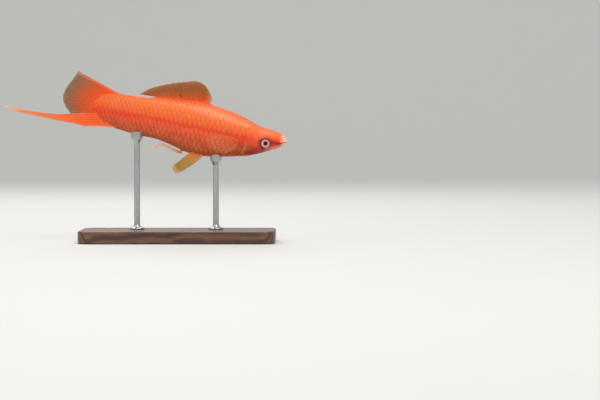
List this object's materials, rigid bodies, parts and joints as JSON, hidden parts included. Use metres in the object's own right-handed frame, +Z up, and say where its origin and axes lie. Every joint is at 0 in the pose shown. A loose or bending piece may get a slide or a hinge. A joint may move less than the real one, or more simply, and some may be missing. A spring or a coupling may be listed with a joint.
{
  "type": "swordtail fish display model",
  "caption": "Life-size male swordtail fish swimming head down, held on two slim rods over a flat wooden base.",
  "frame": {"origin": "centre of the underside of the display base, where the model rests", "axes": "+X towards the fish's head, along the model's length; +Y to the fish's left; +Z up"},
  "size_m": [0.1142, 0.034, 0.0684],
  "materials": {
    "skin": "scaly orange-red skin with a satin sheen",
    "head_skin": "smooth orange-red skin with a wet sheen",
    "fin_orange": "thin orange fin with fine rays",
    "fin_clear": "thin, nearly clear fin with fine rays",
    "eye": "polished, pale iris round a dark pupil",
    "stand_wood": "dark walnut, satin varnish",
    "stand_steel": "fine brushed"
  },
  "bodies": {
    "root": {"head": "head_skin", "lower_jaw": "head_skin", "gill_cover_left": "head_skin", "gill_cover_right": "head_skin", "eye_left": "eye", "eye_right": "eye", "trunk": "skin", "tail_stalk": "skin", "dorsal_fin": "fin_orange", "tail_fin": "fin_orange", "tail_sword": "fin_orange", "gonopodium": "fin_clear", "pectoral_fin_left": "fin_clear", "pectoral_fin_right": "fin_clear", "pelvic_fin_left": "fin_clear", "pelvic_fin_right": "fin_clear", "stand_base": "stand_wood", "stand_rod_front": "stand_steel", "stand_rod_rear": "stand_steel"}
  },
  "joints": []
}
